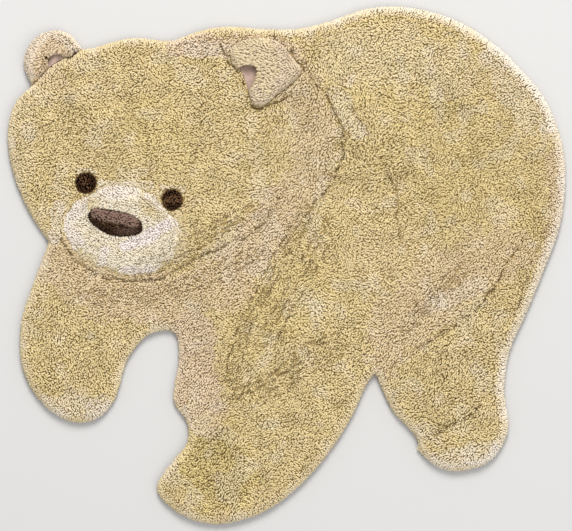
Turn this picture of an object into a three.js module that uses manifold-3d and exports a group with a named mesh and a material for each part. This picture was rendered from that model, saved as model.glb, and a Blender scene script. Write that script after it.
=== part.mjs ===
// A bear shaped rug for a child's room: one tufted cotton panel with the folds of the animal
// carved into its pile, and the ears, muzzle, nose and eyes tufted in yarns of their own and
// fitted into it. Millimetres, +Z up. It lies on the floor: X runs from the face (-X) to the
// rump (+X), Y from the paws (-Y) to the back (+Y), and the origin is under the middle of its box.
import * as THREE from "three";
import Module from "manifold-3d";

const wasm = await Module();
wasm.setup();

// ---- Driving dimensions, mm ----
const RUG_WIDTH = 1200; // from the left of the head to the rump
const GAP = 0.3; // between two pieces that touch
const CANVAS = 4; // backing cloth and latex, which every pocket keeps
const PILE = 20; // top of the plain pile over the floor
const RIM = { height: 8, round: 16, undercut: 4 }; // widest line, rounding and turn-in of the edge
const MUZZLE = { rise: 7, dip: 4, round: 42 }; // over the pile of the head; its edge dips under it
const EYE = { diameter: 42, rise: 3, dip: 6, round: 12 };
const NOSE = { seat: 14, rim: 26, top: 41, round: 12, upperFall: 0.1, lowerFall: 0.5 };
const LEFT_EAR = { rim: 8, top: 25, round: 14, undercut: 4, lining: 12 };
const RIGHT_EAR = { seat: 10, rim: 22, top: 36, round: 14, lining: 18 };
const LINING_CROWN = 1.5; // the felt lies a little higher in the middle
const FOLD_ENDS = 0.15; // share of a fold's length over which each end runs out
const FOLD_SPREAD = 2.5; // a fold is felt this many times as far as its reach
const SWELL_CROWN = 0.2; // share of a swell's radius that is level on top
const CUTTER = { low: -20, high: 80 }; // floor and top of a cutting block, clear of every pile

// ---- Spacing of the points of the surfaces, mm ----
const EDGE_STEP = 12; // along an edge or a fold
const FIELD_STEP = 23; // over the open pile
const FINE_STEP = 8; // on the fitted pieces
// Rows of points that follow an edge, at these shares of the radius of its rounding.
const ROWS = { rug: [0.18, 0.55, 1], ear: [0.25, 1], muzzle: [0.12, 0.4], nose: [0.5], eye: [0.3] };
// Least distance between points of different rows, lines and fields, as shares of a spacing.
const APART = { row: 0.93, lineEnd: 0.3, field: 0.55, line: 0.6 };

// ---- The pattern ----
// It is drawn on squared paper, x to the right and y down, PATTERN_WIDTH squares across the rug.
const PATTERN_WIDTH = 557.6;
const PATTERN_MIDDLE = { x: 286.6, y: 265.3 };
const SQUARE = RUG_WIDTH / PATTERN_WIDTH;

// The edge of the rug, clockwise from the left ear, in smooth stretches that meet at corners.
const EDGE = {
  leftEar: [[33, 85], [25, 70], [25, 56], [32, 42], [45, 33], [58, 31], [71, 36], [81, 49]],
  backAndRump: [
    [81, 49], [90, 49], [110, 43], [134, 38], [170, 41], [197, 32], [225, 27], [262, 29],
    [298, 29], [328, 22], [372, 8], [410, 8], [455, 20], [499, 48], [524, 73], [546, 101],
    [564, 155], [561, 221], [541, 277], [524, 318], [510, 350], [504, 390], [508, 430], [490, 461],
    [455, 471], [434, 465], [417, 449],
  ],
  betweenLegs: [
    [417, 449], [418, 440], [393, 411], [380, 384], [375, 374], [368, 382], [348, 423], [310, 475],
    [265, 511], [218, 524], [180, 514], [157, 490], [166, 470], [187, 443], [187, 422],
    [174, 402], [179, 358], [175, 333], [163, 330], [145, 337], [127, 360], [115, 398],
    [98, 418], [75, 422], [47, 408], [24, 372], [21, 325], [37, 274], [49, 242],
  ],
  faceSide: [[49, 242], [29, 211], [13, 172], [8, 130], [16, 102], [33, 85]],
};
// Where the left ear meets the head, from the face side to the top of the head.
const EAR_SEAM = [[33, 85], [41, 76], [50, 67], [59, 61], [65, 58], [73, 56], [81, 49]];

// Fitted pieces: their edges, drawn closed. The linings run out past the edges of their ears.
const MUZZLE_EDGE = [
  [119, 185], [139, 188], [152, 194], [160, 203], [167, 211], [177, 221], [182, 237], [177, 255],
  [157, 270], [130, 274], [100, 267], [77, 254], [66, 236], [66, 217], [76, 202], [90, 194.5], [102, 188],
];
const NOSE_EDGE = [
  [88, 216], [93, 209], [110, 210], [130, 214], [142, 223], [142, 232], [125, 237], [107, 234], [93, 225],
];
const NOSE_RIDGE = [[86, 215], [97, 219], [108, 226], [124, 229], [145, 228]];
const EYE_MIDDLES = { eye_left: [86.5, 183], eye_right: [172.5, 200] };
const RIGHT_EAR_EDGE = [
  [234, 66], [231, 50], [241, 42], [262, 39], [279, 43], [292, 58], [301, 71],
  [290, 84], [277, 94], [266, 104], [255, 105], [249, 93], [245, 80], [240, 70],
];
const LEFT_LINING_EDGE = [[66, 59], [60, 54], [52, 54], [48, 60], [48, 68], [56, 72], [66, 66]];
const RIGHT_LINING_EDGE = [[237, 69], [248, 65], [257, 68], [257, 78], [252, 88], [246, 92], [236, 80]];

// Broad rises and hollows of the pile: an oval, the turn of its long axis and its height in mm.
const SWELLS = [
  { name: "head", x: 150, y: 160, long: 165, wide: 125, turn: -10, rise: 6 },
  { name: "haunch", x: 455, y: 160, long: 120, wide: 120, turn: 0, rise: 4 },
  { name: "near foreleg", x: 285, y: 375, long: 165, wide: 75, turn: 55, rise: 5 },
  { name: "left leg", x: 75, y: 345, long: 90, wide: 62, turn: 80, rise: 4 },
  { name: "hind leg", x: 450, y: 415, long: 75, wide: 60, turn: 70, rise: 3 },
  { name: "chest", x: 190, y: 300, long: 90, wide: 42, turn: 15, rise: -3 },
  { name: "belly", x: 455, y: 290, long: 95, wide: 45, turn: 35, rise: -3 },
  { name: "far foreleg", x: 198, y: 378, long: 62, wide: 34, turn: 85, rise: -6 },
];

// Carved folds. The groove has a depth and half-width in mm; the pile on its left hand, seen
// along the fold, stands higher by step, which dies away over reach.
const FOLDS = [
  {
    name: "under the head", depth: 5, half: 9, step: 4, reach: 60,
    points: [
      [62, 237], [72, 257], [90, 271], [120, 280], [150, 281], [170, 275], [200, 258], [235, 240],
      [262, 226],
    ],
  },
  {
    name: "collar", depth: 4, half: 9, step: 3, reach: 60,
    points: [[297, 62], [317, 80], [332, 108], [342, 138], [340, 165], [325, 190], [305, 215]],
  },
  {
    name: "shoulder", depth: 2, half: 10, step: 0, reach: 60,
    points: [[318, 80], [345, 105], [368, 138], [388, 172], [397, 215], [400, 280]],
  },
  {
    name: "front of the near foreleg", depth: 4, half: 9, step: 4, reach: 60,
    points: [[305, 215], [290, 245], [272, 276], [252, 300], [240, 336], [228, 370], [215, 400]],
  },
  {
    name: "wrinkle of the near foreleg", depth: 2.5, half: 9, step: 0, reach: 60,
    points: [[215, 405], [245, 390], [272, 373], [292, 353], [308, 332], [320, 310]],
  },
  {
    name: "between the forelegs", depth: 6, half: 9, step: 3, reach: 50,
    points: [[225, 332], [223, 350], [217, 368], [211, 393], [203, 413], [190, 425]],
  },
  {
    name: "top of the far foreleg", depth: 4, half: 9, step: 3, reach: 50,
    points: [[180, 334], [203, 328], [225, 332]],
  },
  {
    name: "flank", depth: 4, half: 9, step: 3, reach: 60,
    points: [[522, 240], [503, 266], [493, 295], [475, 319], [435, 338], [398, 367]],
  },
  {
    name: "toes", depth: 4, half: 8, step: 2, reach: 40,
    points: [[422, 438], [443, 429], [462, 420], [477, 409]],
  },
];

// ---- Plane geometry ----
function plan(x, y) {
  return new THREE.Vector2((x - PATTERN_MIDDLE.x) * SQUARE, (PATTERN_MIDDLE.y - y) * SQUARE);
}

const smoothstep = (value) => THREE.MathUtils.smoothstep(value, 0, 1);
// 0 at the edge, 1 from one radius inward, as a quarter round rises.
const quarterRound = (depth, radius) => Math.sqrt(1 - (1 - Math.min(depth / radius, 1)) ** 2);

// Points at an even spacing along a smooth curve through a stretch of the pattern.
function drawn(stretch, spacing, closed = false) {
  const knots = stretch.map(([x, y]) => plan(x, y)).map((knot) => new THREE.Vector3(knot.x, knot.y, 0));
  const curve = new THREE.CatmullRomCurve3(knots, closed, "centripetal");
  const steps = Math.max(2, Math.round(curve.getLength() / spacing));
  const points = curve.getSpacedPoints(steps).map((point) => new THREE.Vector2(point.x, point.y));
  return closed ? points.slice(0, -1) : points;
}

// Joins stretches end to end into one closed edge, counterclockwise.
function joined(stretches) {
  return stretches.flatMap((points) => points.slice(0, -1)).reverse();
}

const counterclockwise = (edge) => (THREE.ShapeUtils.area(edge) > 0 ? edge : [...edge].reverse());

// Moves each point of a line sideways, to its right hand, which is out of a counterclockwise edge.
function moved(line, distance, closed = true) {
  const last = line.length - 1;
  return line.map((point, i) => {
    const before = line[i === 0 ? (closed ? last : 0) : i - 1];
    const after = line[i === last ? (closed ? 0 : last) : i + 1];
    const along = after.clone().sub(before).normalize();
    return new THREE.Vector2(point.x + along.y * distance, point.y - along.x * distance);
  });
}

function isInside(point, edge) {
  let inside = false;
  edge.forEach((a, i) => {
    const b = edge[(i + 1) % edge.length];
    const spans = a.y > point.y !== b.y > point.y;
    if (spans && point.x < a.x + ((b.x - a.x) * (point.y - a.y)) / (b.y - a.y)) inside = !inside;
  });
  return inside;
}

// Nearest place on a line: its distance, how far along it lies (0 to 1) and which hand we are on.
function nearest(point, line, closed = false) {
  const best = { distance: Infinity, along: 0, side: 1 };
  const sections = closed ? line.length : line.length - 1;
  for (let i = 0; i < sections; i += 1) {
    const a = line[i];
    const b = line[(i + 1) % line.length];
    const run = { x: b.x - a.x, y: b.y - a.y };
    const reach = { x: point.x - a.x, y: point.y - a.y };
    const share = (reach.x * run.x + reach.y * run.y) / (run.x ** 2 + run.y ** 2);
    const t = THREE.MathUtils.clamp(share, 0, 1);
    const distance = Math.hypot(reach.x - run.x * t, reach.y - run.y * t);
    if (distance < best.distance) {
      best.distance = distance;
      best.along = (i + t) / sections;
      best.side = Math.sign(run.x * reach.y - run.y * reach.x);
    }
  }
  return best;
}

// ---- The height of the pile ----
const folds = FOLDS.map((fold) => ({ ...fold, line: drawn(fold.points, EDGE_STEP) }));
const swells = SWELLS.map((swell) => ({
  ...swell,
  middle: plan(swell.x, swell.y),
  angle: THREE.MathUtils.degToRad(swell.turn),
}));

function swellAt(point, { middle, angle, long, wide, rise }) {
  const offset = point.clone().sub(middle).rotateAround(new THREE.Vector2(), -angle);
  const r = Math.hypot(offset.x / (long * SQUARE), offset.y / (wide * SQUARE));
  return rise * smoothstep((1 - r) / (1 - SWELL_CROWN));
}

function foldAt(point, { line, depth, half, step, reach }) {
  const { distance, along, side } = nearest(point, line);
  if (distance > FOLD_SPREAD * reach) return 0;
  const fade = smoothstep(Math.min(along, 1 - along) / FOLD_ENDS);
  const near = Math.exp(-((distance / half) ** 2));
  const bank = 0.5 * step * side * (1 - near) * Math.exp(-distance / reach);
  return fade * (bank - depth * near);
}

function pileTop(x, y) {
  const point = new THREE.Vector2(x, y);
  const broad = swells.reduce((sum, swell) => sum + swellAt(point, swell), 0);
  return folds.reduce((sum, fold) => sum + foldAt(point, fold), PILE + broad);
}

// ---- Solids ----
const ON_CIRCLE = 1e-9; // a point this close to a circle counts as outside it

// Triangles between points of a plane, by adding the points one at a time: each new point
// replaces the triangles whose circles hold it with a fan round itself.
function triangulated(points) {
  const count = points.length;
  const far = 100 * RUG_WIDTH;
  const outside = [[-far, -far], [far, -far], [0, far]].map(([x, y]) => new THREE.Vector2(x, y));
  const all = [...points, ...outside];
  const circled = (a, b, c) => {
    const [p, q, r] = [all[a], all[b], all[c]];
    const twiceArea = 2 * ((q.x - p.x) * (r.y - p.y) - (q.y - p.y) * (r.x - p.x));
    const qq = (q.x - p.x) ** 2 + (q.y - p.y) ** 2;
    const rr = (r.x - p.x) ** 2 + (r.y - p.y) ** 2;
    const dx = ((r.y - p.y) * qq - (q.y - p.y) * rr) / twiceArea;
    const dy = ((q.x - p.x) * rr - (r.x - p.x) * qq) / twiceArea;
    const inside = (dx * dx + dy * dy) * (1 - ON_CIRCLE);
    return { corners: [a, b, c], x: p.x + dx, y: p.y + dy, inside };
  };
  let triangles = [circled(count, count + 1, count + 2)];
  points.forEach((point, added) => {
    const rim = new Map();
    const kept = [];
    for (const triangle of triangles) {
      if ((point.x - triangle.x) ** 2 + (point.y - triangle.y) ** 2 >= triangle.inside) {
        kept.push(triangle);
        continue;
      }
      const [a, b, c] = triangle.corners;
      for (const [from, to] of [[a, b], [b, c], [c, a]]) {
        if (!rim.delete(`${to},${from}`)) rim.set(`${from},${to}`, [from, to]);
      }
    }
    for (const [from, to] of rim.values()) kept.push(circled(from, to, added));
    triangles = kept;
  });
  return triangles.map(({ corners }) => corners).filter((corners) => corners.every((i) => i < count));
}

// Points of a triangular grid inside an edge, kept clear of it and of the given lines.
function fieldPoints(edge, spacing, clearance, lines) {
  const box = new THREE.Box2().setFromPoints(edge);
  const rowStep = spacing * Math.sin(Math.PI / 3);
  const points = [];
  for (let row = 0; box.min.y + row * rowStep < box.max.y; row += 1) {
    for (let x = box.min.x + (row % 2) * 0.5 * spacing; x < box.max.x; x += spacing) {
      const point = new THREE.Vector2(x, box.min.y + row * rowStep);
      if (!isInside(point, edge) || nearest(point, edge, true).distance < clearance) continue;
      if (lines.every((line) => nearest(point, line).distance > APART.line * spacing)) points.push(point);
    }
  }
  return points;
}

// A closed solid on a flat underside. top(x, y, depth) is its height where depth is the distance
// in from the edge; rows are the depths of the rows of points that follow the edge.
function pad({ edge, bottom, undercut = 0, rows, spacing, top, lines = [] }) {
  const isDeeper = (point, least) => isInside(point, edge) && nearest(point, edge, true).distance > least;
  const inner = rows.flatMap((row) => moved(edge, -row).filter((point) => isDeeper(point, APART.row * row)));
  const deepest = rows.at(-1) ?? 0;
  const clearance = deepest + APART.field * spacing;
  const onLines = lines.flat().filter((point) => isDeeper(point, deepest + APART.lineEnd * spacing));
  const points = [...edge, ...inner, ...onLines, ...fieldPoints(edge, spacing, clearance, lines)];
  const positions = points.flatMap((point, i) => {
    const depth = i < edge.length ? 0 : nearest(point, edge, true).distance;
    return [point.x, point.y, top(point.x, point.y, depth)];
  });
  const faces = triangulated(points).filter((corners) => {
    const middle = corners.reduce((sum, i) => sum.add(points[i]), new THREE.Vector2()).divideScalar(3);
    return isInside(middle, edge);
  });
  const foot = moved(edge, -undercut);
  foot.forEach((point) => positions.push(point.x, point.y, bottom));
  edge.forEach((_, i) => {
    const next = (i + 1) % edge.length;
    const [low, lowNext] = [points.length + i, points.length + next];
    faces.push([low, lowNext, next], [low, next, i]);
  });
  for (const [a, b, c] of THREE.ShapeUtils.triangulateShape(foot, [])) {
    faces.push([points.length + a, points.length + c, points.length + b]);
  }
  const geometry = new THREE.BufferGeometry();
  geometry.setAttribute("position", new THREE.Float32BufferAttribute(positions, 3));
  geometry.setIndex(faces.flat());
  return geometry;
}

function toSolid(geometry) {
  return new wasm.Manifold(
    new wasm.Mesh({
      numProp: 3,
      vertProperties: new Float32Array(geometry.getAttribute("position").array),
      triVerts: new Uint32Array(geometry.getIndex().array),
    }),
  );
}

function toGeometry(solid) {
  const { vertProperties, triVerts } = solid.getMesh();
  const geometry = new THREE.BufferGeometry();
  geometry.setAttribute("position", new THREE.BufferAttribute(vertProperties, 3));
  geometry.setIndex(new THREE.BufferAttribute(triVerts, 1));
  return geometry;
}

// The block that an edge encloses, from a floor up past the pile.
function column(edge, floor) {
  return toSolid(pad({ edge, bottom: floor, rows: [], spacing: RUG_WIDTH, top: () => CUTTER.high }));
}

// Cuts a pocket for a fitted piece, one GAP wider than its edge, down to a floor.
function withPocket(geometry, edge, floor) {
  return toGeometry(toSolid(geometry).subtract(column(moved(edge, GAP), floor)));
}

// ---- The pieces ----
const muzzleEdge = counterclockwise(drawn(MUZZLE_EDGE, FINE_STEP, true));
const noseEdge = counterclockwise(drawn(NOSE_EDGE, FINE_STEP, true));
const rightEarEdge = counterclockwise(drawn(RIGHT_EAR_EDGE, FINE_STEP, true));
const eyeEdges = Object.entries(EYE_MIDDLES).map(([name, [x, y]]) => {
  const middle = plan(x, y);
  const rim = new THREE.EllipseCurve(middle.x, middle.y, EYE.diameter / 2, EYE.diameter / 2);
  return [name, rim.getPoints(20).slice(0, -1)];
});

function rug() {
  const edge = joined([
    drawn(EAR_SEAM, EDGE_STEP),
    drawn(EDGE.backAndRump, EDGE_STEP),
    drawn(EDGE.betweenLegs, EDGE_STEP),
    drawn(EDGE.faceSide, EDGE_STEP),
  ]);
  const besides = ({ line, half }) => [-half, 0, half].map((aside) => moved(line, aside, false));
  const panel = pad({
    edge,
    bottom: 0,
    undercut: RIM.undercut,
    rows: ROWS.rug.map((share) => share * RIM.round),
    spacing: FIELD_STEP,
    lines: folds.flatMap(besides),
    top: (x, y, depth) => THREE.MathUtils.lerp(RIM.height, pileTop(x, y), quarterRound(depth, RIM.round)),
  });
  const pockets = [
    { mouth: muzzleEdge, floor: CANVAS },
    { mouth: rightEarEdge, floor: RIGHT_EAR.seat },
    ...eyeEdges.map(([, mouth]) => ({ mouth, floor: CANVAS })),
  ];
  return pockets.reduce((cut, { mouth, floor }) => withPocket(cut, mouth, floor), panel);
}

function leftEar() {
  const arc = drawn(EDGE.leftEar, FINE_STEP).slice(1, -1);
  const seam = moved(drawn(EAR_SEAM, EDGE_STEP), -GAP, false);
  const edge = counterclockwise([...arc, ...seam.reverse()]);
  const { rim, top, round, undercut } = LEFT_EAR;
  const lobe = pad({
    edge,
    bottom: 0,
    undercut,
    rows: ROWS.ear.map((share) => share * round),
    spacing: 2 * FINE_STEP,
    top: (x, y, depth) => THREE.MathUtils.lerp(rim, top, quarterRound(depth, round)),
  });
  return { edge, lobe };
}

function rightEar() {
  const { seat, rim, top, round } = RIGHT_EAR;
  return pad({
    edge: rightEarEdge,
    bottom: seat + GAP,
    rows: ROWS.ear.map((share) => share * round),
    spacing: 2 * FINE_STEP,
    top: (x, y, depth) => THREE.MathUtils.lerp(rim, top, quarterRound(depth, round)),
  });
}

// Felt inside an ear: flat, trimmed to the ear's own edge.
function lining(liningEdge, earEdge, bottom, height) {
  const felt = pad({
    edge: liningEdge,
    bottom,
    rows: [],
    spacing: 1.5 * FINE_STEP,
    top: (x, y, depth) => height + LINING_CROWN * quarterRound(depth, FINE_STEP),
  });
  return toGeometry(toSolid(felt).intersect(column(earEdge, CUTTER.low)));
}

// The top of a piece that domes out of the pile round it, from an edge a little below that pile.
function domed({ dip, rise, round }) {
  return (x, y, depth) => pileTop(x, y) + THREE.MathUtils.lerp(-dip, rise, quarterRound(depth, round));
}

function muzzle() {
  const dome = pad({
    edge: muzzleEdge,
    bottom: CANVAS + GAP,
    rows: ROWS.muzzle.map((share) => share * MUZZLE.round),
    spacing: 2 * FINE_STEP,
    top: domed(MUZZLE),
  });
  return withPocket(dome, noseEdge, NOSE.seat);
}

// The nose is cut with a ridge: a broad upper face and a steep lower one.
function nose() {
  const ridge = drawn(NOSE_RIDGE, FINE_STEP);
  return pad({
    edge: noseEdge,
    bottom: NOSE.seat + GAP,
    rows: ROWS.nose.map((share) => share * NOSE.round),
    spacing: FINE_STEP,
    lines: [ridge],
    top: (x, y, depth) => {
      const { distance, side } = nearest(new THREE.Vector2(x, y), ridge);
      const crest = NOSE.top - distance * (side > 0 ? NOSE.upperFall : NOSE.lowerFall);
      return THREE.MathUtils.lerp(NOSE.rim, crest, quarterRound(depth, NOSE.round));
    },
  });
}

function eye(edge) {
  return pad({
    edge,
    bottom: CANVAS + GAP,
    rows: ROWS.eye.map((share) => share * EYE.round),
    spacing: FINE_STEP,
    top: domed(EYE),
  });
}

// ---- Assembly ----
const YARNS = {
  honey: { color: 0xc6b083, roughness: 0.95 },
  blush: { color: 0xcbb898, roughness: 0.95 },
  cream: { color: 0xdccfb9, roughness: 0.95 },
  mauveFelt: { color: 0xb79d8c, roughness: 0.9 },
  darkBrown: { color: 0x34201a, roughness: 0.85 },
  noseBrown: { color: 0x6f5c4b, roughness: 0.85 },
};

function piece(name, geometry, yarn) {
  const mesh = new THREE.Mesh(geometry, new THREE.MeshStandardMaterial({ ...YARNS[yarn], metalness: 0 }));
  mesh.name = name;
  return mesh;
}

const left = leftEar();
const leftLiningEdge = counterclockwise(drawn(LEFT_LINING_EDGE, FINE_STEP, true));
const rightLiningEdge = counterclockwise(drawn(RIGHT_LINING_EDGE, FINE_STEP, true));
const leftLining = lining(leftLiningEdge, left.edge, 0, LEFT_EAR.lining);
const rightLining = lining(rightLiningEdge, rightEarEdge, RIGHT_EAR.seat + GAP, RIGHT_EAR.lining);

const bear = new THREE.Group();
bear.add(
  piece("rug", rug(), "honey"),
  piece("ear_left", withPocket(left.lobe, leftLiningEdge, CUTTER.low), "blush"),
  piece("ear_left_lining", leftLining, "mauveFelt"),
  piece("ear_right", withPocket(rightEar(), rightLiningEdge, 0), "cream"),
  piece("ear_right_lining", rightLining, "mauveFelt"),
  piece("muzzle", muzzle(), "cream"),
  piece("nose", nose(), "noseBrown"),
  ...eyeEdges.map(([name, edge]) => piece(name, eye(edge), "darkBrown")),
);

// The origin goes under the middle of the whole rug.
const middle = new THREE.Box3().setFromObject(bear).getCenter(new THREE.Vector3());
bear.position.set(-middle.x, -middle.y, 0);

export default bear;
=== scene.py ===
"""A bear shaped rug for a child's room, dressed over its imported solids. Metres, +Z up.

Felt lines the ears. Every other solid gets a ground, which is a copy sunk below the tips of its
pile, and tufts of cotton yarn that stand on it: real tapered locks, leaning the way the pile was
brushed. Tufts are shaped once by mesh operators and then set out in joined meshes.
"""
import math

import bmesh
import bpy
import numpy as np
from mathutils import Matrix, Vector, noise
from mathutils.bvhtree import BVHTree
from mathutils.kdtree import KDTree


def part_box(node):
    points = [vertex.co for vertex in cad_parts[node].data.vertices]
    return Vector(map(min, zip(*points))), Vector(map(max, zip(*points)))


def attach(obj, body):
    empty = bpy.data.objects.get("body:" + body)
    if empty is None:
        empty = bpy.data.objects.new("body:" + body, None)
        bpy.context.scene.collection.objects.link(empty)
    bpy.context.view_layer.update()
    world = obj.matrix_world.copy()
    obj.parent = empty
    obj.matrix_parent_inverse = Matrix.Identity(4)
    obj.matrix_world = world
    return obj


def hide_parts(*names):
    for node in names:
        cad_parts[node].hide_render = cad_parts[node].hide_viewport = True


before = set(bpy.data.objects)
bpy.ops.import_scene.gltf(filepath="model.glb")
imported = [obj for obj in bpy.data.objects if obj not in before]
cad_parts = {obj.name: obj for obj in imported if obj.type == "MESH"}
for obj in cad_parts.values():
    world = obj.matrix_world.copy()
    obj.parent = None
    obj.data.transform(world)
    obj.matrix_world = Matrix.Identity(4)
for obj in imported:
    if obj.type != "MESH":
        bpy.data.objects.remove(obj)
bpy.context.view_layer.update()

# ---- The pattern: squares with x to the right and y down, as the rug's own drawing has them ----
PATTERN_WIDTH = 557.6
PATTERN_MIDDLE = (286.6, 265.3)
PICTURE = {"wide": 572, "high": 531}  # the camera's view, in squares
SQUARE = (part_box("rug")[1].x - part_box("rug")[0].x) / PATTERN_WIDTH

# ---- Sizes, m ----
CANVAS = 0.004  # backing cloth and latex, under the pile
CANVAS_CORNERS = CANVAS + 0.001  # a solid's corners below this stay when its ground is lowered
EDGE_BAND = 0.017  # the combed tufts of the edge, in from the foot of the rug
SIDE_BAND = 0.02  # corners nearer than this to the foot belong to the side of the rug
FOOT_STEP = 0.003  # from point to point along the foot of the rug
FLOOR_CLEAR = 0.0004  # the lowest yarn over the floor
LOWEST_ROOT = 0.003  # no tuft grows lower than this over the floor
BESIDE = 0.003  # solids nearer than this touch, and their grounds stay together
CREASE_DEEP = 0.0014  # how far the pile sinks along a crease
STRAND_DEEP = 0.0006  # how far below the tips the dark strands of painted shade lie in it
LIFT = 0.008  # how much higher a pile would stand that spread to twice its width
TINY = 1e-6  # corners nearer than this are one, and no length is divided by less
RAY_START = 0.0001  # a ray starts this far off its own face
OVERHEAD = 0.1  # clear over the whole rug

# ---- How faces lie: the upright part of their normals ----
FACING_DOWN = -0.99  # the underside faces lower than this
OVERHANG = -0.4  # pile grows on no face that hangs over further
STRAND_BED = 0.5  # dark strands lie on no steeper face
TO_LIGHT = (0, 0, 3)  # plus a normal, the way in which yarn needs to be clear to show
LEVELLED = (1, 1, 0)  # times a direction, leaves its level part
RAISED = (0.3, 0.3, 1)  # times a direction, turns it nearly upright

# ---- How pile lies ----
SWIRL = math.radians(75)  # how far patches of pile are brushed their own way
CALM = 0.7  # how much of the swirl is missing from the calmest pile
STRAY = math.radians(22)  # how far one tuft turns from its neighbours
PARTED_UPRIGHT = 0.5  # how much less the most parted pile may lean
BESIDE_CREASE = 0.6  # how far pile leans away from a crease
STRAND_STRAY = 0.12  # how far the strands stray from the run of their crease
EDGE_DROOP = {"down": 0.6, "stray": 0.1}  # how the pile hangs over an edge
SMALL = {"calm": 0.5, "outward": 2}  # how the pile of a fitted piece lies
COMB_STRAY = 0.35  # radians, for a combed piece
FLOW_REACH = 60  # squares over which one lean gives way to the next
FLOW_LEAST = 1e-9  # of a lean's weight, so that the sum is never 0
# Tufts draw together in clumps and roots show between them: the pull in metres, its share in
# plain pile, how much a blush takes off it, how far its slope is measured as a share of a
# clump, and the least slope that pulls in full.
CLUMP = {"pull": 0.0009, "plain": 0.3, "blush": 0.6, "step": 0.25, "slope": 0.25}

# One row for each kind of tuft. sink is how far the ground lies below the tips; spacing is the
# least distance between two tufts; lean is how far the tip lies from over the root.
KINDS = {
    "honey": {"sink": 0.0036, "spacing": 0.0029, "radius": 0.0020, "lean": 0.0088, "uneven": 0.0006},
    "edge": {"sink": 0.0036, "spacing": 0.0028, "radius": 0.0022, "lean": 0.0085, "uneven": 0.0003},
    "cream": {"sink": 0.0030, "spacing": 0.0028, "radius": 0.0021, "lean": 0.0080, "uneven": 0.0003},
    "strand": {"sink": 0.0012, "spacing": 0.0024, "radius": 0.0008, "lean": 0.0075, "uneven": 0.0002},
    "ear": {"sink": 0.0030, "spacing": 0.0029, "radius": 0.0020, "lean": 0.0120, "uneven": 0.0004},
    "nose": {"sink": 0.0042, "spacing": 0.0030, "radius": 0.0020, "lean": 0.0100, "uneven": 0.0007},
    "eye": {"sink": 0.0042, "spacing": 0.0030, "radius": 0.0028, "lean": 0.0020, "uneven": 0.0005},
}
SIDES = 4  # of a tuft's section
# Sections up a tuft: how far along it, and the radius as a share of the full one.
SECTIONS = [(0.0, 0.8), (0.74, 1.0)]
SECTION_STEP = 0.05  # how far along a tuft its direction is measured
CURL = {"lean": 1.7, "rise": 1.8}  # powers: a tuft leans more and rises less towards its tip
LOCKS = 8  # different tufts that are mixed
# Least and most of a tuft's length and bend, and of its size, as shares of its kind's.
VARIED = {"long": (0.85, 1.15), "bend": (-0.25, 0.25), "size": (0.88, 1.12)}
CROWD = 2.5  # points tried on each square of the spacing, before the close ones are dropped
# A tuft's map: the middle and half size of its root end, and where its sides start and how high
# they are.
ROOT_SPOT = {"x": 0.1, "y": 0.04, "wide": 0.05, "high": 0.03}
SIDE_SPOT = {"low": 0.1, "high": 0.88}
SEEDS = {"rug": 11, "creases": 31}  # of random draws; a fitted piece has its own in FITTED

# ---- Patterns of smooth noise ----
# size is how large a patch is, in metres, and slice is where the noise is cut. A pattern swings
# about its middle, which is 0 unless it is given; its swing is 1 unless it is given.
NOISE_GAIN = 1.6  # brings Blender's noise to about -1 to 1
WAVES = {
    "swirl": {"size": 0.05, "slice": 0.3},
    "clump": {"size": 0.0085, "slice": 12.3},
    "ragged": {"size": 16 * SQUARE, "slice": 2.2, "swing": 0.22},
    "frayed": {"size": 6 * SQUARE, "slice": 4.4, "swing": 0.16},
    "wander": {"size": 11 * SQUARE, "slice": 6.6, "swing": 2.2},
    "shiver": {"size": 5 * SQUARE, "slice": 2.6, "swing": 0.5},
    "whole": {"size": 5 * SQUARE, "slice": 8.8, "middle": 0.66, "swing": 1.05},
    "parted_and_shaded": {"size": 0.035, "slice": 9.1, "middle": 0.35, "swing": 0.8},
    "pale": {"size": 0.035, "slice": 7.3, "middle": -0.2, "swing": 1.6},
    "blush": {"size": 0.03, "slice": 3.7, "middle": 0.4},
    "straw": {"size": 0.018, "slice": 7.9, "swing": 1.5},
    "tone": {"size": 0.05, "slice": 5.1, "middle": 0.6, "swing": 0.12},
    "spread": {"size": 0.012, "slice": 1.9},
    "combed": {"size": 0.03, "slice": 3.1, "swing": 0.5},
}
MOTTLING = {"parted_and_shaded": 0.45, "pale": 0.22, "blush": 0.15, "straw": 0.3}  # the most of each tint
UNPARTED = 0.6  # how much of the parting a blush takes away
# A tuft's tone: how much darker parted pile is, as painted shade, and how tones scatter in close
# pile and how much more in parted pile.
TONE = {"parted_and_shaded": 0.06, "scatter": 0.13, "more": 0.16}
BORDER = 3  # how sharply a patch ends
# The paler edge: its least, how much more it grows along the way, the share of it that the
# inside of the band has, the palest it gets, and what is left there of the parting.
FROST = {"least": 0.14, "more": 0.34, "way": (2.2, 0.6, 0), "inside": 0.4, "full": 0.95, "parted_and_shaded": 0.2}

# ---- Tables on the pattern ----
# Which way the pile leans: places on the pattern, x and y, and degrees counterclockwise from +X.
FLOW = {
    "head": (150, 140, 192),
    "cheek": (230, 150, 200),
    "collar": (318, 130, 268),
    "throat": (275, 225, 228),
    "neck": (200, 285, 205),
    "chest": (110, 295, 186),
    "back": (420, 60, 210),
    "shoulder": (365, 230, 212),
    "foreleg": (300, 330, 216),
    "far foreleg": (197, 380, 264),
    "belly": (450, 290, 224),
    "left leg": (75, 360, 300),
    "haunch": (500, 150, 207),
    "near paw": (230, 470, 225),
    "hind leg": (450, 420, 230),
}


def band(reach, much, *line):
    """A row of PATCHES: how far a patch reaches from its line, how strong it is, and the line."""
    return {"reach": reach, "much": much, "line": line}


def crease(dark, *line, rows=1, apart=0):
    """A row of CREASES: how dark its painted shade is, its line, and how many lie side by side,
    apart squares from one to the next, to the left of the line as it is drawn."""
    return {"dark": dark, "line": line, "rows": rows, "apart": apart}


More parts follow.
